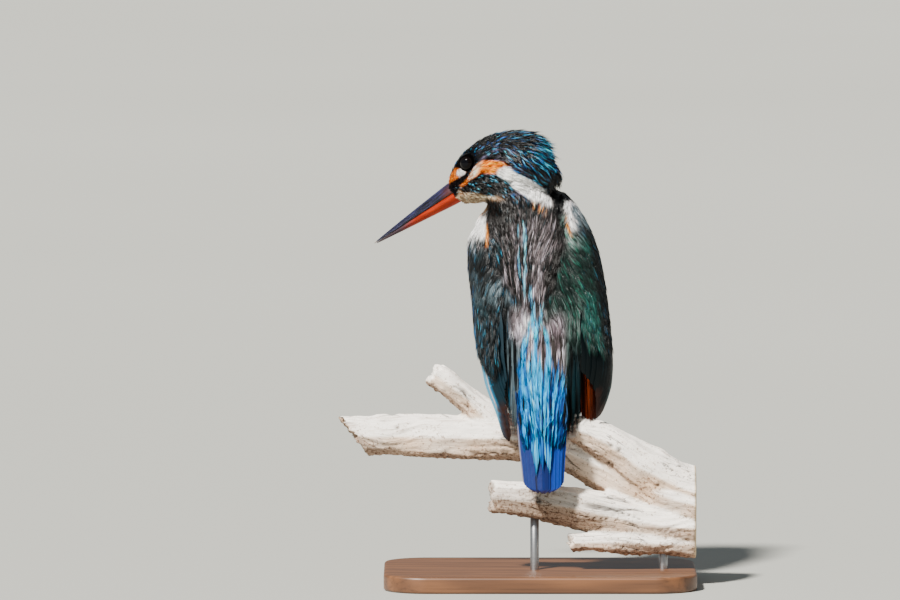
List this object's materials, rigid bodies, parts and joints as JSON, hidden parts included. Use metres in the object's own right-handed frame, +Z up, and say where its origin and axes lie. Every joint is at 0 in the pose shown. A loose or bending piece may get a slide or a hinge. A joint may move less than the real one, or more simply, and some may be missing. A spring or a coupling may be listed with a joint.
{
  "type": "common kingfisher model",
  "caption": "Life-size female common kingfisher perched on a cut length of forked driftwood, head turned over its left shoulder, held by a plain display stand.",
  "frame": {"origin": "centre of the stand base's flat underside", "axes": "+Z up, +X along the perch towards its saw cut, +Y the way the bird's breast faces; its back is towards -Y and its bill towards -X"},
  "size_m": [0.13, 0.078, 0.1655],
  "materials": {
    "crown_feathers": "greenish black, barred with blue",
    "back_feathers": "dark grey-brown with a faint green and pink sheen",
    "wing_feathers": "dark sea green with blue spots",
    "flight_feathers": "dark brown vanes with blue outer webs",
    "rump_feathers": "bright sky blue",
    "tail_feathers": "deep cobalt blue with dark shafts",
    "belly_feathers": "warm chestnut orange",
    "upper_horn": "black horn with a soft violet sheen",
    "lower_horn": "orange-red horn, dark at the tip",
    "eye": "wet dark brown, nearly black",
    "foot_skin": "scaled coral-red skin",
    "driftwood": "bleached, cracked and dry",
    "rod_steel": "brushed",
    "plinth_wood": "dark stained and waxed"
  },
  "bodies": {
    "root": {"head": "crown_feathers", "neck": "back_feathers", "trunk": "back_feathers", "bill_upper": "upper_horn", "bill_lower": "lower_horn", "eye_left": "eye", "eye_right": "eye", "wing_left": "wing_feathers", "wing_right": "wing_feathers", "primaries_left": "flight_feathers", "primaries_right": "flight_feathers", "tail": "tail_feathers", "tail_coverts_upper": "rump_feathers", "tail_coverts_under": "belly_feathers", "thigh_left": "belly_feathers", "thigh_right": "belly_feathers", "foot_left": "foot_skin", "foot_right": "foot_skin", "perch": "driftwood", "stand_base": "plinth_wood", "stand_rod_left": "rod_steel", "stand_rod_right": "rod_steel"}
  },
  "joints": []
}
